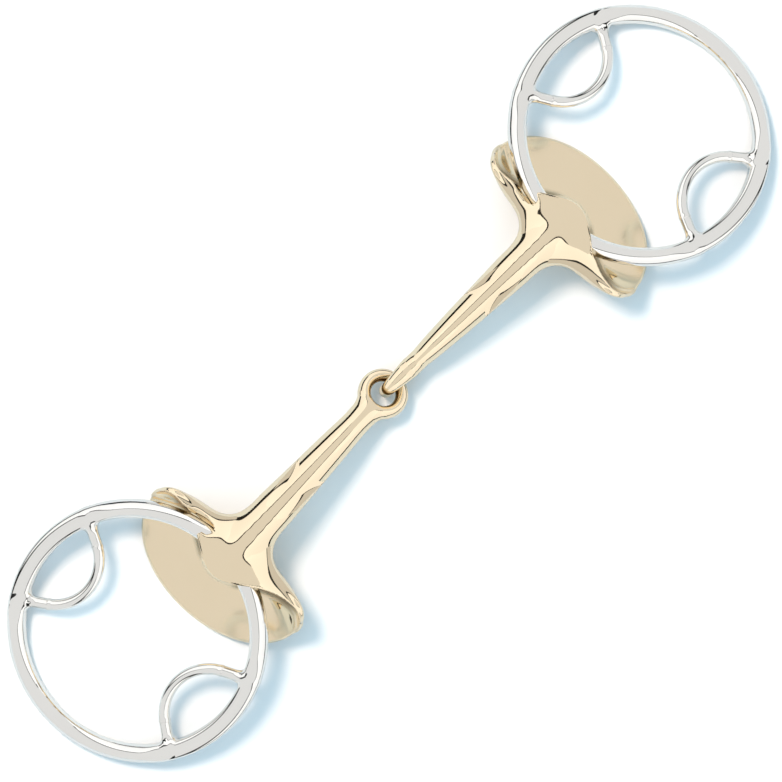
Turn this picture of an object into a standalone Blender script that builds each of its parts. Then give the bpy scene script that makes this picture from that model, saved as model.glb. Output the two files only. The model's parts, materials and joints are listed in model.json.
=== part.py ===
"""Loose-ring snaffle bit: two cast mouthpieces linked at the centre, with a looped ring through each end.

Frame: +X runs from the left ring to the right ring, +Z is up, and the bit lies on the plane z = 0.
Each casting and each ring is modelled in its own hub frame, whose origin is the middle of the ring bore,
with +X pointing outward, away from the mouth, and +Z up. Lengths are in millimetres until they are placed.
"""

import math

import bmesh
import bpy
from mathutils import Matrix, Vector

MM = 0.001

# Placing of the two halves
HUB_SPACING = 138.0
HUB_HEIGHT = 22.0
FRAME_SHIFT = (-0.08, -3.04)
CASTING_YAW = {"left": 181.7, "right": -1.6}
RING_YAW = {"left": 173.5, "right": 3.2}

# Rings
RING_DIAMETER = 80.0
RING_WIRE = 5.6
RING_DROP = 15.0
RING_SPIN = {"left": 6.6, "right": 0.3}
SWING_RANGE = (-8.0, 60.0)
SWEEP_MARGIN = 6.0

# Loops inside the rings
LOOP_WIRE = 3.1
LOOP_BEARING = 94.0
LOOP_FOOT_ANGLE = 27.0
LOOP_ARC_RADIUS = 14.4
LOOP_ARC_CENTRE = 33.4
LOOP_ARC_HALF_ANGLE = 57.0

# Castings
CANNON_LENGTH = 65.75
HUB_SLOPE = {"left": 2.1, "right": 3.73}
EYE_SLOPE = {"left": 20.0, "right": 20.8}
EYE_RADIUS = {"left": 5.75, "right": 5.5}
EYE_BAR_RADIAL = 1.9
EYE_BAR_AXIAL = 2.1
BORE_RADIUS = 3.3
PLATE_SLOPE = 37.0
PLATE_HALF_LENGTH = 29.2
PLATE_REACH = 22.3
PLATE_CENTRE = 2.7
PLATE_THICKNESS = 1.8
RIM_BEVEL = 0.6
HORN_REACH = 10.2
TIP_START = 26.6
GAP = 0.3

HOOP_SEGMENTS = 72
WIRE_SIDES = 12
CANNON_SIDES = 16

PALE_GOLD = (0.83, 0.72, 0.50, 1.0)
POLISHED_STEEL = (0.86, 0.85, 0.82, 1.0)


def clear_scene():
    for thing in list(bpy.data.objects):
        bpy.data.objects.remove(thing, do_unlink=True)


def metal(name, colour, roughness):
    material = bpy.data.materials.new(name)
    material.use_nodes = True
    shader = material.node_tree.nodes["Principled BSDF"]
    shader.inputs["Base Color"].default_value = colour
    shader.inputs["Metallic"].default_value = 1.0
    shader.inputs["Roughness"].default_value = roughness
    return material


def mesh_object(name, shape, material=None):
    """Make an object from a bmesh whose lengths are in millimetres."""
    bmesh.ops.recalc_face_normals(shape, faces=shape.faces)
    bmesh.ops.scale(shape, vec=(MM, MM, MM), verts=shape.verts)
    mesh = bpy.data.meshes.new(name)
    shape.to_mesh(mesh)
    shape.free()
    mesh.shade_smooth()
    mesh.set_sharp_from_angle(angle=math.radians(40.0))
    thing = bpy.data.objects.new(name, mesh)
    if material:
        mesh.materials.append(material)
    bpy.context.scene.collection.objects.link(thing)
    return thing


def loft(sections, closed=False):
    """Skin a list of point rings; an open loft gets flat end caps."""
    shape = bmesh.new()
    rings = [[shape.verts.new(point) for point in section] for section in sections]
    pairs = list(zip(rings, rings[1:]))
    if closed:
        pairs.append((rings[-1], rings[0]))
    for near, far in pairs:
        for i in range(len(near)):
            j = (i + 1) % len(near)
            shape.faces.new((near[i], near[j], far[j], far[i]))
    if not closed:
        shape.faces.new(rings[0])
        shape.faces.new(rings[-1])
    return shape


def oval(centre, side, up, half_side, half_up, count):
    """Points of an ellipse around centre, in the plane of side and up."""
    points = []
    for i in range(count):
        angle = 2.0 * math.pi * i / count
        points.append(centre + side * (half_side * math.cos(angle)) + up * (half_up * math.sin(angle)))
    return points


def blend_between(table, value):
    """Straight-line value between the (position, value) pairs of a short table."""
    for (low, a), (high, b) in zip(table, table[1:]):
        if value <= high:
            share = max(0.0, (value - low) / (high - low))
            return a + (b - a) * share
    return table[-1][1]


def hub_place(side):
    """World position, in metres, of the middle of one casting's ring bore."""
    sign = 1.0 if side == "right" else -1.0
    return Vector((sign * HUB_SPACING / 2.0 + FRAME_SHIFT[0], FRAME_SHIFT[1], HUB_HEIGHT)) * MM


# Rings and loops -------------------------------------------------------------------------------------


def ring_radius():
    return (RING_DIAMETER - RING_WIRE) / 2.0


def ring_hub_matrix(side):
    """Place a ring's hub frame: the bore's middle, turned outward and tipped down to the ground."""
    place = Matrix.Translation(hub_place(side))
    yaw = Matrix.Rotation(math.radians(RING_YAW[side]), 4, "Z")
    drop = Matrix.Rotation(math.radians(RING_DROP), 4, "Y")
    return place @ yaw @ drop


def hoop(name, material):
    """A torus through the hub frame's origin, with its centre one radius outward."""
    radius = ring_radius()
    sections = []
    for i in range(HOOP_SEGMENTS):
        angle = 2.0 * math.pi * i / HOOP_SEGMENTS
        out = Vector((math.cos(angle), math.sin(angle), 0.0))
        middle = Vector((radius, 0.0, 0.0)) + out * radius
        sections.append(oval(middle, out, Vector((0.0, 0.0, 1.0)), RING_WIRE / 2.0, RING_WIRE / 2.0, WIRE_SIDES))
    return mesh_object(name, loft(sections, closed=True), material)


def loop_path():
    """The loop's centre line, from foot to foot, for a loop whose middle bearing is along +X."""
    foot_radius = ring_radius() - RING_WIRE / 2.0 - GAP
    foot = math.radians(LOOP_FOOT_ANGLE)
    start = Vector((foot_radius * math.cos(foot), foot_radius * math.sin(foot), 0.0))
    arc = []
    steps = 14
    for i in range(steps + 1):
        angle = math.radians(180.0 + LOOP_ARC_HALF_ANGLE * (2.0 * i / steps - 1.0))
        arc.append(Vector((LOOP_ARC_CENTRE + LOOP_ARC_RADIUS * math.cos(angle),
                           LOOP_ARC_RADIUS * math.sin(angle), 0.0)))
    straight = [start.lerp(arc[0], 0.45)]
    end = Vector((start.x, -start.y, 0.0))
    straight_end = [end.lerp(arc[-1], 0.45)]
    return [start] + straight + arc + straight_end + [end]


def wire_loop(name, bearing, material):
    """One bent wire inside the ring; bearing is counted from the direction of the hub."""
    path = loop_path()
    up = Vector((0.0, 0.0, 1.0))
    sections = []
    for i, point in enumerate(path):
        ahead = path[min(i + 1, len(path) - 1)] - path[max(i - 1, 0)]
        side = ahead.normalized().cross(up)
        sections.append(oval(point, side, up, LOOP_WIRE / 2.0, LOOP_WIRE / 2.0, WIRE_SIDES))
    shape = loft(sections)
    turn = Matrix.Rotation(math.radians(180.0 + bearing), 4, "Z")
    centre = Matrix.Translation((ring_radius(), 0.0, 0.0))
    bmesh.ops.transform(shape, matrix=centre @ turn, verts=shape.verts)
    return mesh_object(name, shape, material)


def build_ring(side, material):
    """Hoop and two loops, all parented to an empty on the bore's axis."""
    axis = bpy.data.objects.new(side + "_ring_axis", None)
    bpy.context.scene.collection.objects.link(axis)
    axis.matrix_world = ring_hub_matrix(side)
    spin = RING_SPIN[side]
    cheek_sign = 1.0 if side == "right" else -1.0
    pieces = [
        hoop(side + "_ring_hoop", material),
        wire_loop(side + "_cheek_loop", spin - cheek_sign * LOOP_BEARING, material),
        wire_loop(side + "_rein_loop", spin + cheek_sign * LOOP_BEARING, material),
    ]
    for piece in pieces:
        piece.parent = axis


# Castings --------------------------------------------------------------------------------------------


def cannon_line(side, s):
    """Centre-line point and slope angle at distance s inward from the hub."""
    start = math.tan(math.radians(HUB_SLOPE[side]))
    bend = (math.tan(math.radians(EYE_SLOPE[side])) - start) / CANNON_LENGTH
    point = Vector((-s, 0.0, -(start * s + bend * s * s / 2.0)))
    return point, math.atan(start + bend * s)


CANNON_HALF_WIDTH = {
    "left": [(5.2, 4.2), (9.0, 4.2), (12.0, 4.1), (20.0, 4.6), (37.0, 5.6), (52.0, 6.5), (60.0, 7.4), (70.0, 8.4)],
    "right": [(5.0, 2.7), (9.0, 3.0), (14.0, 3.6), (24.0, 4.3), (42.0, 5.4), (56.0, 6.5), (60.0, 7.4), (70.0, 8.4)],
}
CANNON_HALF_HEIGHT = {
    "left": [(5.2, 2.6), (9.0, 3.3), (14.0, 4.1), (24.0, 4.7), (42.0, 5.3), (60.0, 5.8), (70.0, 5.8)],
    "right": [(5.0, 4.6), (9.0, 4.5), (14.0, 4.4), (24.0, 4.6), (42.0, 5.3), (60.0, 5.8), (70.0, 5.8)],
}


def cannon(side):
    """The tapering curved bar, from just behind the eye's hole to the middle of the hub."""
    sections = []
    first = CANNON_HALF_WIDTH[side][0][0]
    stations = [first, first + 3.0, first + 7.0, 17.0, 24.0, 33.0, 42.0, 51.0, 58.0, CANNON_LENGTH - 1.0]
    for from_eye in stations:
        point, slope = cannon_line(side, CANNON_LENGTH - from_eye)
        up = Vector((-math.sin(slope), 0.0, math.cos(slope)))
        width = blend_between(CANNON_HALF_WIDTH[side], from_eye)
        height = blend_between(CANNON_HALF_HEIGHT[side], from_eye)
        sections.append(oval(point, Vector((0.0, 1.0, 0.0)), up, width, height, CANNON_SIDES))
    return mesh_object(side + "_cannon", loft(sections))


def eye(side):
    """The linked eye: lying flat on the left casting, standing on edge on the right one."""
    middle, slope = cannon_line(side, CANNON_LENGTH)
    along = Vector((math.cos(slope), 0.0, math.sin(slope)))
    normal = Vector((-math.sin(slope), 0.0, math.cos(slope)))
    across = Vector((0.0, 1.0, 0.0))
    if side == "right":
        normal, across = across, normal
    sections = []
    steps = 28
    for i in range(steps):
        angle = 2.0 * math.pi * i / steps
        out = along * math.cos(angle) + across * math.sin(angle)
        centre = middle + out * EYE_RADIUS[side]
        sections.append(oval(centre, out, normal, EYE_BAR_RADIAL, EYE_BAR_AXIAL, 10))
    return mesh_object(side + "_eye", loft(sections, closed=True))


def wing_section(across):
    """Outline of the cheek plate in the plane at a distance across from the middle.

    The points run down the flat outer face to the rim, back up the mouth side, over the rounded horn
    and down into the pocket behind the ring.
    """
    share = min(abs(across), TIP_START) / PLATE_HALF_LENGTH
    slope = math.radians(PLATE_SLOPE)
    down = Vector((math.cos(slope), 0.0, -math.sin(slope)))
    normal = Vector((math.sin(slope), 0.0, math.cos(slope)))
    foot = -BORE_RADIUS * normal
    round_share = math.sqrt(max(0.0, 1.0 - share * share))
    reach = (PLATE_CENTRE + (PLATE_REACH - PLATE_CENTRE) * round_share - foot.x) / down.x
    back_start = 0.42 * reach
    horn_x = PLATE_CENTRE - HORN_REACH * (1.0 - share ** 2.5) ** 0.4
    wall_x = max(-3.2, horn_x + 3.1)
    width = wall_x - horn_x
    crest_z = 5.0 - 2.0 * share - 3.4 * share ** 6
    thick_back = PLATE_THICKNESS + 2.4 * round_share

    def on_plate(distance, lift):
        spot = foot + down * distance + normal * lift
        return (spot.x, across, spot.z)

    outline = [
        on_plate(0.3 + 0.7 * share, 0.0),
        on_plate(reach - RIM_BEVEL, 0.0),
        on_plate(reach, -RIM_BEVEL),
        on_plate(reach - RIM_BEVEL, -PLATE_THICKNESS),
        on_plate(back_start, -PLATE_THICKNESS),
        on_plate(back_start * 0.35, -thick_back),
        (horn_x + 0.9, across, crest_z - 8.0 + 2.4 * share),
        (horn_x, across, crest_z - 5.2 + 1.8 * share),
        (horn_x + 0.2 * width, across, crest_z - 2.6 + 0.8 * share),
        (horn_x + 0.5 * width, across, crest_z - 0.7),
        (wall_x - 0.2 * width, across, crest_z),
        (wall_x, across, crest_z - 0.5),
        (wall_x + 0.3, across, crest_z - 3.4 + 1.4 * share),
    ]
    past_tip = max(0.0, abs(across) - TIP_START) / (PLATE_HALF_LENGTH - TIP_START)
    size = math.sqrt(1.0 - min(0.98, past_tip * past_tip))
    middle = sum((Vector(point) for point in outline), Vector()) / len(outline)
    return [middle.lerp(Vector(point), size) for point in outline]


def wing(side):
    """The half-moon cheek plate with its raised horns."""
    stations = [0.0, 5.0, 10.0, 15.0, 19.0, 23.0, 26.0, TIP_START, 28.9, 29.7, PLATE_HALF_LENGTH]
    laterals = [-s for s in reversed(stations[1:])] + stations
    return mesh_object(side + "_wing", loft([wing_section(s) for s in laterals]))


def boss(side):
    """The rounded tongue over the ring, as a stack of ellipses: waisted at the bore, broad at the top."""
    stack = [(-5.2, 5.6, 7.6), (-3.4, 6.6, 8.8), (0.0, 7.4, 9.4), (2.8, 7.5, 11.0), (4.2, 7.4, 12.4),
             (5.2, 6.6, 11.6), (5.8, 4.6, 8.6)]
    sections = []
    for level, reach, half_length in stack:
        ring = []
        for i in range(24):
            angle = 2.0 * math.pi * i / 24
            ring.append((reach * math.cos(angle), half_length * math.sin(angle), level))
        sections.append(ring)
    return mesh_object(side + "_boss", loft(sections))


def bore_cutter(side):
    """The room that the ring sweeps as it swings, from a little under its lowest angle to its highest.

    At a distance along the bore, the wire's centre moves on an arc round the bore's axis. The section is
    the outline of a disc moved along that arc.
    """
    lowest = math.radians(-RING_DROP + SWING_RANGE[0] - SWEEP_MARGIN)
    highest = math.radians(-RING_DROP + SWING_RANGE[1])
    behind = (lowest + highest) / 2.0 - math.pi
    sections = []
    for along in (-22.0, -18.0, -14.0, -10.0, -5.0, 0.0, 5.0, 10.0, 14.0, 18.0, 22.0):
        sag = along * along / (2.0 * ring_radius())
        ring = []
        for i in range(22):
            angle = behind + 2.0 * math.pi * i / 22
            swing = min(max(angle, lowest), highest)
            x = sag * math.cos(swing) + BORE_RADIUS * math.cos(angle)
            z = sag * math.sin(swing) + BORE_RADIUS * math.sin(angle)
            ring.append((x, along, z))
        sections.append(ring)
    return mesh_object(side + "_bore_cutter", loft(sections))


def combine(base, other, operation):
    modifier = base.modifiers.new(operation.lower() + "_" + other.name, "BOOLEAN")
    modifier.operation = operation
    modifier.solver = "EXACT"
    modifier.object = other
    other.hide_render = True
    other.display_type = "WIRE"
    other.parent = base


def build_casting(side, material):
    """One mouthpiece: cannon, eye, cheek plate and boss in one piece, bored for its ring."""
    body = cannon(side)
    body.name = side + "_mouthpiece"
    body.data.materials.append(material)
    for addition in (eye(side), wing(side), boss(side)):
        combine(body, addition, "UNION")
    cutter = bore_cutter(side)
    combine(body, cutter, "DIFFERENCE")
    cutter.rotation_euler.z = math.radians(RING_YAW[side] - CASTING_YAW[side])
    body.location = hub_place(side)
    body.rotation_euler.z = math.radians(CASTING_YAW[side])


def main():
    clear_scene()
    gold = metal("pale_gold", PALE_GOLD, 0.12)
    steel = metal("polished_steel", POLISHED_STEEL, 0.08)
    for side in ("left", "right"):
        build_casting(side, gold)
        build_ring(side, steel)


main()
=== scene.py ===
"""Looks of the loose-ring snaffle bit: smooth cast mouthpieces, polished rings, materials, light and camera.

The castings and the wire loops are distance fields turned into smooth quad meshes. A field is a function of
an (n, 3) array of points in millimetres, negative inside the metal. Each casting and ring is drawn in its own
hub frame: origin in the middle of the ring bore, +x outward from the mouth, +y along the bore, +z up.
"""

import json
import math

import bpy
import numpy as np
from mathutils import Matrix, Vector


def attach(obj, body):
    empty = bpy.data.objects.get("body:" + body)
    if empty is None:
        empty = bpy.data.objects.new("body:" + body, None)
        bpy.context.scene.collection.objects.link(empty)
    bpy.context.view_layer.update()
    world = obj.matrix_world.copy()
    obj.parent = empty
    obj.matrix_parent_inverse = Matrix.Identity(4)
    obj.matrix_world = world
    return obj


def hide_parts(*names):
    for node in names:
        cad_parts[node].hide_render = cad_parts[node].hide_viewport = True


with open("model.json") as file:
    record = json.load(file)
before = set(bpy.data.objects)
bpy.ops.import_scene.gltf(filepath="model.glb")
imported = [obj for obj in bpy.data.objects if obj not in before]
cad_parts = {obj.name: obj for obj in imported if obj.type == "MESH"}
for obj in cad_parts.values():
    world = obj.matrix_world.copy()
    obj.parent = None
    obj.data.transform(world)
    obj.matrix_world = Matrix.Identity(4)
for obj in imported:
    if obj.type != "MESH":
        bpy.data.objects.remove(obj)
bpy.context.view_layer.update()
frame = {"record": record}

MM = 0.001
RECORD = frame["record"]
JOINTS = {joint["name"]: joint for joint in RECORD["behaviour"]["joints"]}
MOUNTS = {mount["name"]: mount for mount in RECORD["mounts"]}

# Ring sizes, millimetres
WIRE_RADIUS = 2.8
HOOP_RADIUS = 37.2
LOOP_WIRE_RADIUS = 1.7
LOOP_ARC_RADIUS = 14.4
LOOP_ARC_CENTRE = 33.4
LOOP_ARC_HALF_ANGLE = math.radians(57.0)
LOOP_FOOT_ANGLE = math.radians(27.0)
LOOP_BEARING = 94.0
FILED_HALF_ANGLE = math.radians(31.0)
FILED_RUNOUT = math.radians(10.0)
FILED_SQUARE = 0.42
FILED_DEPTH = 0.25
RING_DROP = 15.0
RING_SPIN = {"left": 6.6, "right": 0.3}

# Casting sizes, millimetres
CANNON_LENGTH = 65.75
HUB_SLOPE = {"left": 2.1, "right": 3.73}
EYE_SLOPE = {"left": 20.0, "right": 20.8}
EYE_RADIUS = {"left": 5.75, "right": 5.5}
BORE_RADIUS = 3.3
PLATE_SLOPE = math.radians(37.0)
PLATE_CENTRE = 2.7
PLATE_REACH = 22.3
PLATE_HALF_LENGTH = 29.2
PLATE_THICKNESS = 1.8

# Roundings and fillets, millimetres
PLATE_ROUNDING = 0.75
WALL_ROUNDING = 0.6
UNDERSIDE_ROUNDING = 2.0
RIM_ROUNDING = 0.8
BORE_ROUNDING = 0.5
WING_FILLET = 2.4
NECK_FILLET = 4.0
SADDLE_FILLET = 9.0
WELD_FILLET = 2.8

# Meshing, millimetres: cell sizes, the boxes that hold one casting and one loop, the hoop's steps around its
# centre line and its section, and the rounds of filing at FILING_CELL
CASTING_CELL = 0.42
LOOP_CELL = 0.22
CASTING_BOX = ((-76.0, -32.0, -33.0), (25.0, 32.0, 9.0))
LOOP_BOX = ((17.0, -20.0, -3.4), (38.0, 20.0, 3.4))
HOOP_STEPS = (320, 48)
FILING_CELL = 0.42
FILING_ROUNDS = 70

# Metal colours, linear, each from its darker to its lighter shade
PALE_GOLD = ((0.92, 0.775, 0.55), (0.95, 0.81, 0.59))
POLISHED_STEEL = ((0.90, 0.89, 0.86), (0.95, 0.94, 0.91))
# Painted shade: the dark colour mixed into the metal in its hollows, where they lie in shade
RECESS_SHADE_COLOUR = (0.20, 0.125, 0.045)
SMOOTHEST, DULLEST = 0.03, 0.06
SATIN_DULLER = 0.12
RIPPLE = 0.05

# Stage, metres
CAMERA_PLACE = (-0.0011, -0.0022, 1.1)
CAMERA_TURN = math.radians(-45.2)
CAMERA_LENS = 168.8
FLOOR_HALF = 1.6
FLOOR_SHADE = 0.90
# Painted shade: the floor's darker colour as the metal mirrors it
FLOOR_PAINTED_SHADE_IN_METAL = 0.66
ROOM_IN_METAL = 0.80
ROOM_TO_CAMERA = 0.90
SKY_COLOUR = (0.63, 0.86, 1.0)
KEY_COLOUR = (1.0, 0.80, 0.66)
SOFT_BOX_AWAY = 0.15
CARD_AWAY = 0.035
PANEL_FOOT = 0.0005
WHITE_GLOW = (1.02, 1.22)
DIM_GLOW = (0.66, 0.70)
BLACK_GLOW = (0.02, 0.04)


# Places ----------------------------------------------------------------------------------------------


def hub_matrix(side, along_bore):
    """Matrix of a hub frame from its bore's direction; metres."""
    y = Vector((along_bore[0], along_bore[1], 0.0)).normalized()
    x = y.cross(Vector((0.0, 0.0, 1.0)))
    turn = Matrix((x, y, Vector((0.0, 0.0, 1.0)))).transposed().to_4x4()
    return Matrix.Translation(Vector(JOINTS[side + "_ring_swing"]["pos_m"])) @ turn


def casting_matrix(side):
    """The casting's frame: the cheek plate's mount faces inward and down, so outward is its opposite."""
    inward = Vector(MOUNTS[side + "_cheek_plate_back"]["axis"])
    outward = Vector((-inward.x, -inward.y, 0.0)).normalized()
    return hub_matrix(side, Vector((0.0, 0.0, 1.0)).cross(outward))


def ring_matrix(side):
    """The ring's frame: along its hinge, and tipped so that the far end rests on the ground."""
    axis = Vector(JOINTS[side + "_ring_swing"]["axis"])
    return hub_matrix(side, -axis) @ Matrix.Rotation(math.radians(RING_DROP), 4, "Y")


# Fields ----------------------------------------------------------------------------------------------


def soft_min(a, b, width):
    """Union of two fields with a fillet; width sets how far the fillet reaches."""
    share = np.clip(0.5 + 0.5 * (b - a) / width, 0.0, 1.0)
    return b * (1.0 - share) + a * share - width * share * (1.0 - share)


def soft_max(a, b, width):
    return -soft_min(-a, -b, width)


def ease(value):
    value = np.clip(value, 0.0, 1.0)
    return value * value * (3.0 - 2.0 * value)


def oval_field(x, y, half_x, half_y):
    """Nearly the distance to an ellipse."""
    size = np.sqrt((x / half_x) ** 2 + (y / half_y) ** 2) + 1e-9
    steep = np.sqrt((x / half_x ** 2) ** 2 + (y / half_y ** 2) ** 2) + 1e-9
    return size * (size - 1.0) / steep


def rounded_slab(outline, level, half_thickness, rounding):
    """An outline field extruded both ways from level zero, with rounded edges."""
    a = outline + rounding
    b = np.abs(level) - half_thickness + rounding
    outside = np.sqrt(np.maximum(a, 0.0) ** 2 + np.maximum(b, 0.0) ** 2)
    return outside + np.minimum(np.maximum(a, b), 0.0) - rounding


class Taper:
    """A smooth curve through a few (position, value) pairs."""

    STEP = 0.5

    def __init__(self, pairs, softness=2.5):
        self.low = pairs[0][0] - 20.0
        at = np.arange(self.low, pairs[-1][0] + 20.0, self.STEP)
        values = np.interp(at, [p[0] for p in pairs], [p[1] for p in pairs])
        reach = np.arange(-4.0 * softness, 4.0 * softness + self.STEP, self.STEP)
        bell = np.exp(-0.5 * (reach / softness) ** 2)
        padded = np.pad(values, len(bell) // 2, mode="edge")
        self.values = np.convolve(padded, bell / bell.sum(), mode="valid")[: len(at)]
        self.slopes = np.gradient(self.values)

    def __call__(self, x):
        spot = np.clip((x - self.low) / self.STEP, 0.0, len(self.values) - 1.001)
        i = spot.astype(int)
        t = spot - i
        bend = t * t * (3.0 - 2.0 * t)
        level = self.values[i] * (1.0 - bend) + self.values[i + 1] * bend
        lead = self.slopes[i] * (t * (1.0 - t) ** 2) - self.slopes[i + 1] * (t * t * (1.0 - t))
        return level + lead


# The cannon, the arm that lies in the mouth, by distance from the middle of its eye; then where it starts,
# and half the eye's wire in the eye's own plane and across it
CANNON_HALF_WIDTH = {
    "left": Taper([(4.0, 4.6), (9.0, 4.1), (13.0, 4.1), (19.0, 4.6), (38.0, 5.6), (52.0, 6.4), (66.0, 7.2)]),
    "right": Taper([(4.0, 1.7), (9.0, 3.1), (14.0, 3.6), (24.0, 4.3), (42.0, 5.3), (56.0, 6.0), (66.0, 6.6)],
                   1.2),
}
CANNON_HALF_HEIGHT = {
    "left": Taper([(4.0, 2.5), (9.0, 3.4), (14.0, 4.1), (24.0, 4.7), (42.0, 5.3), (58.0, 5.6), (66.0, 5.6)]),
    "right": Taper([(4.0, 2.0), (8.0, 3.6), (14.0, 4.3), (24.0, 4.6), (42.0, 5.2), (58.0, 5.6), (66.0, 5.6)]),
}
CANNON_START = {"left": 5.4, "right": 4.6}
EYE_WIRE_HALF = (1.9, 2.05)
EYE_THICKER_AT_NECK = {"left": 0.8, "right": 1.1}


def cannon_line(side, s):
    """Height and slope of the cannon's centre line at distance s inward from the hub."""
    start = math.tan(math.radians(HUB_SLOPE[side]))
    bend = (math.tan(math.radians(EYE_SLOPE[side])) - start) / CANNON_LENGTH
    return -(start * s + bend * s * s / 2.0), start + bend * s


def cannon_field(side, p):
    """An oval section swept along the bent centre line, from its start beside the eye to the hub."""
    s_free = -p[:, 0]
    for _ in range(3):
        height, slope = cannon_line(side, s_free)
        s_free = s_free - ((p[:, 0] + s_free) + (p[:, 2] - height) * slope) / (1.0 + slope * slope)
    s = np.clip(s_free, 0.0, CANNON_LENGTH - CANNON_START[side])
    height, slope = cannon_line(side, s)
    flat = 1.0 / np.sqrt(1.0 + slope * slope)
    up = ((p[:, 2] - height) - (p[:, 0] + s) * slope) * flat
    past = (-(p[:, 0] + s) - (p[:, 2] - height) * slope) * flat
    from_eye = CANNON_LENGTH - s
    body = oval_field(p[:, 1], up, CANNON_HALF_WIDTH[side](from_eye), CANNON_HALF_HEIGHT[side](from_eye))
    past = np.maximum(np.abs(past) - 0.2, 0.0)
    return np.where(body > 0.0, np.sqrt(body ** 2 + past ** 2), np.where(past > 0.0, past, body))


def in_eye_frame(side, p):
    """Distance from the eye's middle in its own plane, distance out of it, and closeness to the neck."""
    height, slope = cannon_line(side, CANNON_LENGTH)
    flat = 1.0 / math.sqrt(1.0 + slope * slope)
    x = p[:, 0] + CANNON_LENGTH
    z = p[:, 2] - height
    along = (x + slope * z) * flat
    up = (z - slope * x) * flat
    across = p[:, 1]
    if side == "right":
        up, across = across, up
    radius = np.sqrt(along ** 2 + across ** 2) + 1e-9
    return radius, up, (0.5 + 0.5 * along / radius) ** 2


def eye_field(side, p):
    """The eye: a ring of oval section, thicker where it joins the cannon."""
    radius, off_plane, toward_neck = in_eye_frame(side, p)
    thickness = EYE_WIRE_HALF[1] + EYE_THICKER_AT_NECK[side] * toward_neck
    return oval_field(radius - EYE_RADIUS[side], off_plane, EYE_WIRE_HALF[0], thickness)


def mirrored(pairs, softness=2.2):
    """A curve that is the same on both sides of the middle."""
    return Taper([(-at, value) for at, value in reversed(pairs) if at > 0.0] + pairs, softness)


# The raised roof of the cheek plate, by distance sideways from the middle: where its flat top starts, where
# it ends over the pocket, how high it is, and how tall the rounding of its mouth side is
ROOF_START = mirrored([(0.0, 0.8), (4.0, 1.2), (8.0, 2.2), (12.0, 2.2), (17.0, 1.4), (21.0, 0.8), (25.0, 0.8),
                       (28.0, 1.6), (31.0, 3.0)])
ROOF_EDGE = mirrored([(0.0, 7.3), (3.2, 6.6), (6.5, 4.9), (9.0, 3.2), (12.0, 1.2), (14.0, 0.0), (17.0, -1.2),
                      (20.0, -1.9), (24.0, -2.1), (26.5, -1.6), (28.5, 0.5), (31.0, 4.0)], 1.2)
ROOF_HEIGHT = mirrored([(0.0, 5.7), (4.0, 5.7), (8.0, 5.5), (12.0, 4.95), (16.0, 4.15), (21.0, 3.1),
                        (25.0, 2.2), (28.0, 1.7), (31.0, 1.2)])
ROOF_FLANK = mirrored([(0.0, 8.4), (10.0, 9.4), (18.0, 9.0), (22.0, 7.4), (26.0, 5.4), (31.0, 3.6)])
ROOF_THICKNESS = 6.0

# The outline's reach toward the mouth, the power of its curve there, and how far the plate is dished
OUTLINE_BACK = 10.2
OUTLINE_POWER = 2.5
DISH = 1.8


def outline_field(p):
    """The cheek plate's outline seen from above: a half-ellipse outward, a fuller curve on the mouth side."""
    out = p[:, 0] - PLATE_CENTRE
    power = np.where(out > 0.0, 2.0, OUTLINE_POWER)
    half = np.where(out > 0.0, PLATE_REACH - PLATE_CENTRE, OUTLINE_BACK)
    a = np.abs(out) / half
    b = np.abs(p[:, 1]) / PLATE_HALF_LENGTH
    size = (a ** power + b ** power + 1e-12) ** (1.0 / power)
    steep = np.sqrt((a ** (power - 1.0) / half) ** 2 + (b ** (power - 1.0) / PLATE_HALF_LENGTH) ** 2) + 1e-9
    return (size - 1.0) / (steep / size ** (power - 1.0))


def plate_lift(p):
    """Height above the plate's flat outer face, square to it."""
    return p[:, 0] * math.sin(PLATE_SLOPE) + p[:, 2] * math.cos(PLATE_SLOPE) + BORE_RADIUS


def plate_field(p):
    """The flat half-moon plate, dished up toward its ends and drawn back from the outline under the horns."""
    outline = outline_field(p)
    near_rim = np.clip(1.0 + outline / 6.0, 0.0, 1.2)
    near_tip = ease((np.abs(p[:, 1]) - 16.0) / 9.0)
    dish = DISH * ease((1.5 - p[:, 0]) / 6.0) * near_rim ** 2 * near_tip
    under_horn = DISH * ease((-1.0 - p[:, 0]) / 3.0) * (1.0 - near_tip)
    half = PLATE_THICKNESS / 2.0
    return rounded_slab(outline + under_horn, plate_lift(p) - dish + half, half, PLATE_ROUNDING)


def roof_field(p):
    """Tongue and horns: a raised roof along the mouth side of the plate, with a steep wall to the pockets."""
    across = p[:, 1]
    start = ROOF_START(across)
    share = np.clip(np.abs(across) / PLATE_HALF_LENGTH, 0.0, 0.99)
    outline = PLATE_CENTRE - OUTLINE_BACK * (1.0 - share ** OUTLINE_POWER) ** (1.0 / OUTLINE_POWER)
    flank = ROOF_FLANK(across)
    body = oval_field(np.minimum(p[:, 0] - start, 0.0), p[:, 2] - ROOF_HEIGHT(across) + flank,
                      np.maximum(start - outline, 1.6), flank)
    edge = ROOF_EDGE(across)
    lean = (ROOF_EDGE(across + 0.1) - edge) / 0.1
    wall = (p[:, 0] - edge) / np.sqrt(1.0 + lean * lean)
    roof = soft_max(body, wall, WALL_ROUNDING)
    roof = soft_max(roof, -(plate_lift(p) + ROOF_THICKNESS), UNDERSIDE_ROUNDING)
    return soft_max(roof, outline_field(p), RIM_ROUNDING)


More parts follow.
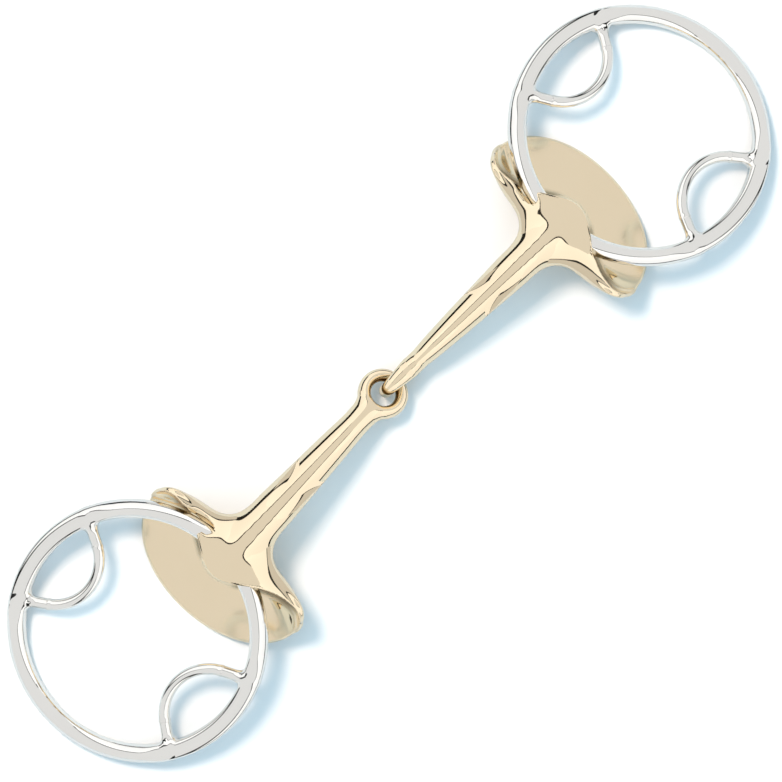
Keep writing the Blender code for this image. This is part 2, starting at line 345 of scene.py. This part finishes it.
def sweep_field(side, p):
    """The room the ring takes as it swings, in the casting's frame; negative inside."""
    skew = casting_matrix(side).inverted() @ ring_matrix(side)
    y_axis = skew.to_3x3() @ Vector((0.0, 1.0, 0.0))
    angle = math.atan2(-y_axis.x, y_axis.y)
    x = p[:, 0] * math.cos(angle) + p[:, 1] * math.sin(angle)
    y = -p[:, 0] * math.sin(angle) + p[:, 1] * math.cos(angle)
    z = p[:, 2]
    low, high = [math.radians(-RING_DROP + limit) for limit in JOINTS[side + "_ring_swing"]["range_deg"]]
    lean = np.sqrt(1.0 - np.clip(y / HOOP_RADIUS, -0.85, 0.85) ** 2)
    sag = HOOP_RADIUS * (1.0 - lean)
    middle = (low + high) / 2.0
    off = (np.arctan2(z, x) - middle + math.pi) % (2.0 * math.pi) - math.pi
    edge = np.where(off > 0.0, high, low)
    past_edge = np.sqrt((x - sag * np.cos(edge)) ** 2 + (z - sag * np.sin(edge)) ** 2)
    within = np.abs(np.sqrt(x * x + z * z) - sag)
    return np.where(np.abs(off) < (high - low) / 2.0, within, past_edge) * lean - BORE_RADIUS


def field_slope(field, points, step=0.02):
    slope = np.empty_like(points)
    for axis in range(3):
        shift = np.zeros(3)
        shift[axis] = step
        slope[:, axis] = (field(points + shift) - field(points - shift)) / (2.0 * step)
    return slope


def filleted(first, second, width, on_top):
    """Union of two fields with a fillet where they meet at an angle, and hardly any where they run on level.

    on_top is the share of the fillet left where the first field faces up.
    """

    def joined(p):
        a = first(p)
        b = second(p)
        near = (np.abs(a - b) < width) & (np.minimum(a, b) < width / 4.0 + 0.4) & (np.minimum(a, b) > -1.2)
        result = np.minimum(a, b)
        if near.any():
            spots = p[near]
            slope_a = field_slope(first, spots)
            slope_b = field_slope(second, spots)
            size = np.linalg.norm(slope_a, axis=1) * np.linalg.norm(slope_b, axis=1) + 1e-9
            turn = 1.0 - (slope_a * slope_b).sum(axis=1) / size
            facing_up = np.clip(slope_a[:, 2] / (np.linalg.norm(slope_a, axis=1) + 1e-9), 0.0, 1.0)
            reach = width * np.clip(0.08 + turn, 0.0, 1.0) * (1.0 - (1.0 - on_top) * facing_up ** 2)
            reach = np.maximum(reach * ease(-spots[:, 0] / 5.0), 0.05)
            result[near] = soft_min(a[near], b[near], reach)
        return result

    return joined


def casting_field(side):
    """The whole casting: cannon, eye, and the wing of plate and roof, less the ring's room."""

    def wing(p):
        return soft_min(roof_field(p), plate_field(p), WING_FILLET)

    def cannon(p):
        return cannon_field(side, p)

    def eye(p):
        return eye_field(side, p)

    arm = filleted(cannon, eye, NECK_FILLET, 0.6)
    whole = filleted(arm, wing, SADDLE_FILLET, 0.1)
    return lambda p: soft_max(whole(p), -sweep_field(side, p), BORE_ROUNDING)


def loop_field(p):
    """One wire loop, bearing along +x from the ring's middle: an arc with two straight legs."""
    x, y, z = p[:, 0], np.abs(p[:, 1]), p[:, 2]
    arc_x = LOOP_ARC_CENTRE + LOOP_ARC_RADIUS * math.cos(math.pi - LOOP_ARC_HALF_ANGLE)
    arc_y = LOOP_ARC_RADIUS * math.sin(math.pi - LOOP_ARC_HALF_ANGLE)
    foot_x = HOOP_RADIUS * math.cos(LOOP_FOOT_ANGLE)
    foot_y = HOOP_RADIUS * math.sin(LOOP_FOOT_ANGLE)
    run = np.array([foot_x - arc_x, foot_y - arc_y])
    share = np.clip(((x - arc_x) * run[0] + (y - arc_y) * run[1]) / (run @ run), 0.0, 1.0)
    straight = np.sqrt((x - arc_x - share * run[0]) ** 2 + (y - arc_y - share * run[1]) ** 2 + z ** 2)
    angle = np.arctan2(y, -(x - LOOP_ARC_CENTRE))
    ring = np.sqrt((x - LOOP_ARC_CENTRE) ** 2 + y ** 2)
    arc = np.where(angle < LOOP_ARC_HALF_ANGLE, np.sqrt((ring - LOOP_ARC_RADIUS) ** 2 + z ** 2), 1e3)
    return soft_min(arc, straight, 0.6) - LOOP_WIRE_RADIUS


def filed_hoop_field(p):
    """The hoop where it is filed flatter, between the feet of a loop: nearly the distance to its skin."""
    power = 2.0 / (1.0 - FILED_SQUARE)
    a = np.abs(np.sqrt(p[:, 0] ** 2 + p[:, 1] ** 2) - HOOP_RADIUS) / WIRE_RADIUS
    b = np.abs(p[:, 2]) / (WIRE_RADIUS - FILED_DEPTH)
    size = (a ** power + b ** power + 1e-12) ** (1.0 / power)
    steep = np.sqrt((a ** (power - 1.0) / WIRE_RADIUS) ** 2
                    + (b ** (power - 1.0) / (WIRE_RADIUS - FILED_DEPTH)) ** 2) / size ** (power - 1.0) + 1e-9
    return (size - 1.0) / steep


def weld_lumps(p):
    """Small unevenness of hand brazing, a few hundredths of a millimetre."""
    wave = np.sin(p[:, 0] * 3.1 + 1.7 * np.sin(p[:, 1] * 2.3)) * np.sin(p[:, 1] * 2.9 + p[:, 2] * 3.7)
    return 0.035 * wave


def fused_loop_field(p):
    """A loop with its brazed feet, which sink under the hoop's skin where the braze runs out."""
    loop = loop_field(p)
    hoop = filed_hoop_field(p)
    near_weld = np.clip(1.0 - np.abs(hoop) / 3.0, 0.0, 1.0) * np.clip(1.0 - loop / 1.2, 0.0, 1.0)
    sink = 0.02 + 0.09 * np.clip(loop / 1.2, 0.0, 1.0)
    fused = soft_min(loop, hoop, WELD_FILLET) + sink + weld_lumps(p) * near_weld
    return np.maximum(np.maximum(fused, -(hoop + 0.5)), loop - 2.2)


# Meshing ---------------------------------------------------------------------------------------------


def settle(field, points):
    """Move points onto the surface, where the field is zero."""
    for _ in range(2):
        value = field(points)
        slope = field_slope(field, points)
        size = np.maximum((slope ** 2).sum(axis=1), 0.05)
        step = np.clip(value / size, -0.4, 0.4)
        points = points - slope * step[:, None]
    return points


def surface_net(field, low, high, cell):
    """Quad mesh of the field's zero surface: one vertex in each cell that the surface crosses."""
    axes = [np.arange(low[k], high[k] + cell, cell) for k in range(3)]
    grid = np.stack(np.meshgrid(*axes, indexing="ij"), axis=-1)
    shape = grid.shape[:3]
    values = np.empty(shape)
    for i in range(shape[0]):
        values[i] = field(grid[i].reshape(-1, 3)).reshape(shape[1:])
    inside = values < 0.0
    total = np.zeros([n - 1 for n in shape] + [3])
    count = np.zeros([n - 1 for n in shape])
    for axis in range(3):
        others = [k for k in range(3) if k != axis]
        near = [slice(None)] * 3
        far = [slice(None)] * 3
        near[axis] = slice(None, -1)
        far[axis] = slice(1, None)
        a, b = values[tuple(near)], values[tuple(far)]
        crossed = inside[tuple(near)] != inside[tuple(far)]
        share = np.where(crossed, a / np.where(crossed, a - b, 1.0), 0.0)
        spot = grid[tuple(near)].copy()
        spot[..., axis] += share * cell
        spot *= crossed[..., None]
        for da in (0, 1):
            for db in (0, 1):
                pick = [slice(None)] * 3
                pick[others[0]] = slice(da, shape[others[0]] - 1 + da)
                pick[others[1]] = slice(db, shape[others[1]] - 1 + db)
                total += spot[tuple(pick)]
                count += crossed[tuple(pick)]
    active = count > 0
    index = np.full(active.shape, -1)
    index[active] = np.arange(active.sum())
    points = total[active] / count[active][:, None]
    faces = []
    for axis in range(3):
        u, v = (axis + 1) % 3, (axis + 2) % 3
        near = [slice(1, -1)] * 3
        far = [slice(1, -1)] * 3
        near[axis] = slice(None, -1)
        far[axis] = slice(1, None)
        crossed = inside[tuple(near)] != inside[tuple(far)]
        cells = np.argwhere(crossed)
        flip = inside[tuple(near)][crossed]
        base = cells.copy()
        base[:, u] += 1
        base[:, v] += 1
        corners = []
        for du, dv in ((1, 1), (0, 1), (0, 0), (1, 0)):
            spot = base.copy()
            spot[:, u] -= du
            spot[:, v] -= dv
            corners.append(index[spot[:, 0], spot[:, 1], spot[:, 2]])
        quads = np.stack(corners, axis=1)
        quads[~flip] = quads[~flip][:, ::-1]
        faces.append(quads)
    return points, np.concatenate(faces)


def even_out(points, faces, share, rounds):
    """Move each point toward its neighbours' middle, by its share of the way."""
    a = np.concatenate([faces.ravel(), np.roll(faces, -1, axis=1).ravel()])
    b = np.concatenate([np.roll(faces, -1, axis=1).ravel(), faces.ravel()])
    degree = np.bincount(a, minlength=len(points))
    share = np.broadcast_to(np.asarray(share, dtype=float), len(points))[:, None]
    for _ in range(rounds):
        total = [np.bincount(a, weights=points[b, k], minlength=len(points)) for k in range(3)]
        points = points * (1.0 - share) + share * np.stack(total, axis=1) / degree[:, None]
    return points


def mesh_normals(points, faces):
    cross = np.cross(points[faces[:, 2]] - points[faces[:, 0]], points[faces[:, 3]] - points[faces[:, 1]])
    total = np.stack([np.bincount(faces.ravel(), weights=np.repeat(cross[:, k], 4), minlength=len(points))
                      for k in range(3)], axis=1)
    return total / np.linalg.norm(total, axis=1)[:, None]


def link_object(name, data):
    """A new object in the scene."""
    made = bpy.data.objects.new(name, data)
    bpy.context.scene.collection.objects.link(made)
    return made


def metal_piece(name, field, box, cell, place, material, hand_filed=None, finish_and_painted_shade=None):
    """Mesh a field, place it, and shade it with the field's own normals.

    hand_filed gives, for each point, how much it is smoothed afterwards, as a file and a polishing wheel
    would; there the shading follows the smoothed mesh. finish_and_painted_shade names point attributes for
    the
    material: the real finish, and painted shade in the hollows.
    """
    points, faces = surface_net(field, *box, cell)
    for _ in range(3):
        points = settle(field, even_out(points, faces, 0.6, 1))
    normals = field_slope(field, points, 0.06)
    normals /= np.linalg.norm(normals, axis=1)[:, None]
    if hand_filed:
        share = hand_filed(points)
        rounds = int(FILING_ROUNDS * (FILING_CELL / cell) ** 2)
        points = even_out(points, faces, 0.5 * share, rounds)
        blend = np.clip(share * 6.0, 0.0, 1.0)[:, None]
        normals = normals * (1.0 - blend) + mesh_normals(points, faces) * blend
        normals /= np.linalg.norm(normals, axis=1)[:, None]
    turn = np.array(place.to_3x3())
    world = points * MM @ turn.T + np.array(place.translation)
    mesh = bpy.data.meshes.new(name)
    mesh.from_pydata(world.tolist(), [], faces.tolist())
    mesh.polygons.foreach_set("use_smooth", np.ones(len(faces), dtype=bool))
    mesh.normals_split_custom_set_from_vertices((normals @ turn.T).tolist())
    for attribute, amount in (finish_and_painted_shade or {}).items():
        mesh.attributes.new(attribute, "FLOAT", "POINT").data.foreach_set("value", amount(points))
    mesh.materials.append(material)
    return link_object(name, mesh)


def casting_filing(p):
    """The saddle between the mouthpiece arm and the horns is filed smooth; crisp edges are left alone."""
    from_edge = ROOF_EDGE(p[:, 1]) - p[:, 0]
    return ease((from_edge - 1.2) / 3.5) * ease((p[:, 0] + 20.0) / 6.0) * ease((p[:, 2] + 8.0) / 5.0)


def plate_satin(p):
    """The cheek plate's flat outer face is a little duller than the rest of the casting."""
    return ease((1.2 - np.abs(plate_lift(p))) / 0.6) * ease((p[:, 0] - 1.0) / 4.0)


def painted_recess_shade(side, p):
    """Painted shade in the hollows: inside the eye, and along the walls of the pockets."""
    radius, _, _ = in_eye_frame(side, p)
    in_eye = ease((EYE_RADIUS[side] - 0.7 - radius) / 1.2)
    sideways = np.abs(p[:, 1])
    past_wall = p[:, 0] - ROOF_EDGE(p[:, 1])
    below_roof = ROOF_HEIGHT(p[:, 1]) - p[:, 2]
    pocket = ease((3.0 - past_wall) / 3.0) * ease((past_wall + 0.6) / 0.5) * ease((below_roof - 0.8) / 1.5)
    return np.maximum(in_eye, pocket * ease((sideways - 5.0) / 3.0) * ease((27.0 - sideways) / 6.0))


def hoop_piece(name, place, material, loop_bearings):
    """A round hoop, its middle one radius outward of the bore, filed flatter where loops are brazed on."""
    around, section = HOOP_STEPS
    turn = np.arange(around) * 2.0 * math.pi / around
    roll = np.arange(section) * 2.0 * math.pi / section
    t, r = [grid.ravel() for grid in np.meshgrid(turn, roll, indexing="ij")]
    filed = np.zeros_like(t)
    for bearing in loop_bearings:
        off = np.abs((t - bearing + math.pi) % (2.0 * math.pi) - math.pi)
        filed += ease((FILED_HALF_ANGLE + FILED_RUNOUT - off) / FILED_RUNOUT)
    square = 1.0 - FILED_SQUARE * filed
    wide = WIRE_RADIUS * np.sign(np.cos(r)) * np.abs(np.cos(r)) ** square
    tall = (WIRE_RADIUS - FILED_DEPTH * filed) * np.sign(np.sin(r)) * np.abs(np.sin(r)) ** square
    out = HOOP_RADIUS + wide
    points = np.stack([HOOP_RADIUS + out * np.cos(t), out * np.sin(t), tall], axis=1)
    i, j = [grid.ravel() for grid in np.meshgrid(np.arange(around), np.arange(section), indexing="ij")]
    i2, j2 = (i + 1) % around, (j + 1) % section
    faces = np.stack([i * section + j, i2 * section + j, i2 * section + j2, i * section + j2], axis=1)
    mesh = bpy.data.meshes.new(name)
    mesh.from_pydata((points * MM).tolist(), [], faces.tolist())
    mesh.transform(place)
    mesh.shade_smooth()
    mesh.materials.append(material)
    return link_object(name, mesh)


# Materials -------------------------------------------------------------------------------------------


def new_material(name):
    material = bpy.data.materials.new(name)
    material.use_nodes = True
    nodes = material.node_tree.nodes
    return material, nodes, material.node_tree.links, nodes["Principled BSDF"]


def noise(nodes, links, source, scale, detail, stretch=None):
    texture = nodes.new("ShaderNodeTexNoise")
    texture.inputs["Scale"].default_value = scale
    texture.inputs["Detail"].default_value = detail
    if stretch:
        mapping = nodes.new("ShaderNodeMapping")
        mapping.inputs["Scale"].default_value = stretch
        links.new(source, mapping.inputs["Vector"])
        source = mapping.outputs["Vector"]
    links.new(source, texture.inputs["Vector"])
    return texture.outputs["Fac"]


def remap(nodes, links, value, low, high):
    """Stretch a noise, which keeps near one half, over the whole of a range."""
    ramp = nodes.new("ShaderNodeMapRange")
    ramp.inputs["From Min"].default_value = 0.35
    ramp.inputs["From Max"].default_value = 0.65
    ramp.inputs["To Min"].default_value = low
    ramp.inputs["To Max"].default_value = high
    links.new(value, ramp.inputs["Value"])
    return ramp.outputs["Result"]


def tint(nodes, links, value, dark, light):
    mix = nodes.new("ShaderNodeMix")
    mix.data_type = "RGBA"
    mix.inputs["A"].default_value = (*dark, 1.0)
    mix.inputs["B"].default_value = (*light, 1.0)
    links.new(value, mix.inputs["Factor"])
    return mix.outputs["Result"]


def attribute(nodes, name):
    """A point attribute of the mesh; zero where the mesh has none."""
    source = nodes.new("ShaderNodeAttribute")
    source.attribute_name = name
    return source.outputs["Fac"]


def polished(name, dark, light):
    """Polished metal: colour drift, painted shade in the hollows, uneven gloss, hairline scratches and a
    hand-polished ripple.
    """
    material, nodes, links, shader = new_material(name)
    shader.inputs["Metallic"].default_value = 1.0
    coords = nodes.new("ShaderNodeTexCoord").outputs["Object"]
    drift = noise(nodes, links, coords, 55.0, 2.0)
    # Painted shade: the metal's colour is mixed toward a dark brown in the hollows, where they lie in shade
    recess_shaded_colour = nodes.new("ShaderNodeMix")
    recess_shaded_colour.data_type = "RGBA"
    links.new(attribute(nodes, "painted_shade"), recess_shaded_colour.inputs["Factor"])
    links.new(tint(nodes, links, drift, dark, light), recess_shaded_colour.inputs["A"])
    recess_shaded_colour.inputs["B"].default_value = (*RECESS_SHADE_COLOUR, 1.0)
    links.new(recess_shaded_colour.outputs["Result"], shader.inputs["Base Color"])
    wear = noise(nodes, links, coords, 210.0, 5.0)
    gloss = nodes.new("ShaderNodeMath")
    gloss.operation = "MULTIPLY_ADD"
    links.new(attribute(nodes, "satin"), gloss.inputs[0])
    gloss.inputs[1].default_value = SATIN_DULLER
    links.new(remap(nodes, links, wear, SMOOTHEST, DULLEST), gloss.inputs[2])
    links.new(gloss.outputs["Value"], shader.inputs["Roughness"])
    hair = noise(nodes, links, coords, 900.0, 3.0, stretch=(1.0, 6.0, 1.0))
    wave = noise(nodes, links, coords, 120.0, 1.0)
    fine = nodes.new("ShaderNodeBump")
    fine.inputs["Strength"].default_value = 0.05
    fine.inputs["Distance"].default_value = 0.00002
    links.new(hair, fine.inputs["Height"])
    broad = nodes.new("ShaderNodeBump")
    broad.inputs["Strength"].default_value = RIPPLE
    broad.inputs["Distance"].default_value = 0.00006
    links.new(wave, broad.inputs["Height"])
    links.new(fine.outputs["Normal"], broad.inputs["Normal"])
    links.new(broad.outputs["Normal"], shader.inputs["Normal"])
    return material


# Stage -----------------------------------------------------------------------------------------------


def add_floor():
    """A plain pale floor, with painted shade: it is dimmer where the metal mirrors it."""
    material, nodes, links, shader = new_material("pale_floor")
    # Painted shade: the floor takes a darker colour for rays mirrored by the metal
    path = nodes.new("ShaderNodeLightPath").outputs["Is Glossy Ray"]
    shade = tint(nodes, links, path, (FLOOR_SHADE,) * 3, (FLOOR_PAINTED_SHADE_IN_METAL,) * 3)
    links.new(shade, shader.inputs["Base Color"])
    shader.inputs["Roughness"].default_value = 0.9
    shader.inputs["Specular IOR Level"].default_value = 0.1
    mesh = bpy.data.meshes.new("floor")
    corners = [(x * FLOOR_HALF, y * FLOOR_HALF, 0.0) for x, y in ((-1, -1), (1, -1), (1, 1), (-1, 1))]
    mesh.from_pydata(corners, [], [(0, 1, 2, 3)])
    mesh.materials.append(material)
    link_object("floor", mesh)


def square_light(name, place, size, power, colour):
    """A square area light aimed at the bit's middle; it lights the floor and never shows in the metal."""
    data = bpy.data.lights.new(name, "AREA")
    data.shape = "RECTANGLE"
    data.size = size
    data.size_y = size
    data.energy = power
    data.color = colour
    light = link_object(name, data)
    light.location = place
    look = (Vector() - Vector(place)).normalized()
    light.rotation_euler = look.to_track_quat("-Z", "X").to_euler()
    light.visible_camera = False
    light.visible_glossy = False


def add_camera():
    """The camera looks straight down, turned so that the bit runs from corner to corner."""
    data = bpy.data.cameras.new("camera")
    data.sensor_width = 36.0
    data.lens = CAMERA_LENS
    data.clip_start = 0.05
    data.clip_end = 20.0
    camera = link_object("camera", data)
    camera.location = CAMERA_PLACE
    camera.rotation_euler = (0.0, 0.0, CAMERA_TURN)
    bpy.context.scene.camera = camera


def glow(name, bottom, top):
    """A flat, self-lit surface, its light changing evenly from bottom to top."""
    material = bpy.data.materials.new(name)
    material.use_nodes = True
    nodes = material.node_tree.nodes
    links = material.node_tree.links
    split = nodes.new("ShaderNodeSeparateXYZ")
    links.new(nodes.new("ShaderNodeTexCoord").outputs["Generated"], split.inputs["Vector"])
    light = nodes.new("ShaderNodeEmission")
    links.new(tint(nodes, links, split.outputs["Z"], (bottom,) * 3, (top,) * 3), light.inputs["Color"])
    links.new(light.outputs["Emission"], nodes["Material Output"].inputs["Surface"])
    return material


def reflection_only(mesh, name):
    """Put a studio panel on the stage so that only polished metal shows it."""
    panel = link_object(name, mesh)
    panel.visible_camera = False
    panel.visible_diffuse = False
    panel.visible_shadow = False


def add_soft_box(name, y, bottom, white, black):
    """An upright soft box beside the bit, in a dark frame that is deepest along the foot."""
    half, top, rim = 0.22, 0.345, 0.06
    xs = [-half - rim, -half, half, half + rim]
    zs = [PANEL_FOOT, bottom, top, top + rim]
    corners = [(x, y, z) for z in zs for x in xs]
    quads = [(4 * k + i, 4 * k + i + 1, 4 * k + i + 5, 4 * k + i + 4) for k in range(3) for i in range(3)]
    mesh = bpy.data.meshes.new(name)
    mesh.from_pydata(corners, [], quads)
    mesh.materials.append(black)
    mesh.materials.append(white)
    mesh.polygons[4].material_index = 1
    reflection_only(mesh, name)


def add_card(name, x, white, dim, black):
    """Two white cards inward of one casting, either side of the mouthpiece.

    Toward the casting each stands on a dim foot with a black line along its top. A second sheet just behind
    it has a low black foot, for the metal nearer the centre joint.
    """
    top, inner_edge = 0.10, (0.009, 0.008, 0.0008, 0.028)
    sheets = ((x, 0.030, (dim, black, white)), (0.97 * x, 0.010, (black, white, white)))
    lines = ((-1.0, 0.0035), (1.0, 0.006))
    corners = []
    materials = []
    for sheet_x, foot, bands in sheets:
        for sign, line in lines:
            columns = (inner_edge, (0.022, foot, line, 0.060), (0.041, foot, line, top),
                       (0.075, foot, line, top))
            for y, low, thick, high in columns:
                corners += [(sheet_x, sign * y, z) for z in (PANEL_FOOT, low, low + thick, high)]
            materials += bands * 3
    firsts = [16 * half + 4 * k + j for half in range(4) for k in range(3) for j in range(3)]
    mesh = bpy.data.meshes.new(name)
    mesh.from_pydata(corners, [], [(first, first + 1, first + 5, first + 4) for first in firsts])
    palette = [dim, black, white]
    for material in palette:
        mesh.materials.append(material)
    for face, material in zip(mesh.polygons, materials):
        face.material_index = palette.index(material)
    reflection_only(mesh, name)


def add_world():
    """A pale room, brighter to the camera than in the metal."""
    world = bpy.data.worlds.new("studio")
    bpy.context.scene.world = world
    world.use_nodes = True
    nodes = world.node_tree.nodes
    links = world.node_tree.links
    room = nodes["Background"]
    room.inputs["Color"].default_value = (ROOM_IN_METAL,) * 3 + (1.0,)
    pale = nodes.new("ShaderNodeBackground")
    pale.inputs["Color"].default_value = (ROOM_TO_CAMERA,) * 3 + (1.0,)
    mix = nodes.new("ShaderNodeMixShader")
    path = nodes.new("ShaderNodeLightPath")
    links.new(path.outputs["Is Camera Ray"], mix.inputs["Fac"])
    links.new(room.outputs["Background"], mix.inputs[1])
    links.new(pale.outputs["Background"], mix.inputs[2])
    links.new(mix.outputs["Shader"], nodes["World Output"].inputs["Surface"])
    world.cycles_visibility.diffuse = False


def add_stage():
    """Camera, floor, room, the panels that the metal mirrors, and two lights for the floor."""
    add_camera()
    add_floor()
    add_world()
    bpy.context.scene.view_settings.view_transform = "Standard"
    white = glow("panel_white", *WHITE_GLOW)
    black = glow("panel_black", *BLACK_GLOW)
    dim = glow("panel_dim", *DIM_GLOW)
    add_soft_box("soft_box_far", SOFT_BOX_AWAY, 0.05, white, black)
    add_soft_box("soft_box_near", -SOFT_BOX_AWAY, 0.024, white, black)
    add_card("card_left", -CARD_AWAY, white, dim, black)
    add_card("card_right", CARD_AWAY, white, dim, black)
    square_light("sky_fill", (0.0, 0.0, 1.6), 4.0, 77.0, SKY_COLOUR)
    square_light("key", (0.0, 0.52, 1.3), 0.3, 13.0, KEY_COLOUR)


def add_casting(side, gold):
    """One casting: its cannon, eye, cheek plate, tongue and horns."""
    # satin dulls the plate's face; the second attribute is painted shade in the hollows
    finish_and_painted_shade = {"satin": plate_satin, "painted_shade": lambda p: painted_recess_shade(side, p)}
    casting = metal_piece(side + "_mouthpiece_casting", casting_field(side), CASTING_BOX, CASTING_CELL,
                          casting_matrix(side), gold, casting_filing, finish_and_painted_shade)
    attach(casting, side + "_mouth")
    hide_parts(side + "_mouthpiece")


def add_ring(side, steel):
    """The hoop and its two loops, for the cheekpiece and the rein."""
    place = ring_matrix(side)
    turn_sign = 1.0 if side == "right" else -1.0
    bearings = {"cheek": math.radians(180.0 + RING_SPIN[side] - turn_sign * LOOP_BEARING),
                "rein": math.radians(180.0 + RING_SPIN[side] + turn_sign * LOOP_BEARING)}
    hoop = hoop_piece(side + "_hoop", place, steel, bearings.values())
    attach(hoop, side + "_ring")
    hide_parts(side + "_ring_hoop")
    middle = place @ Matrix.Translation((HOOP_RADIUS * MM, 0.0, 0.0))
    for use, bearing in bearings.items():
        loop = metal_piece(side + "_" + use + "_wire_loop", fused_loop_field, LOOP_BOX, LOOP_CELL,
                           middle @ Matrix.Rotation(bearing, 4, "Z"), steel)
        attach(loop, side + "_ring")
        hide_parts(side + "_" + use + "_loop")


def main():
    add_stage()
    gold = polished("pale_gold", *PALE_GOLD)
    steel = polished("polished_steel", *POLISHED_STEEL)
    for side in ("left", "right"):
        add_casting(side, gold)
        add_ring(side, steel)


main()
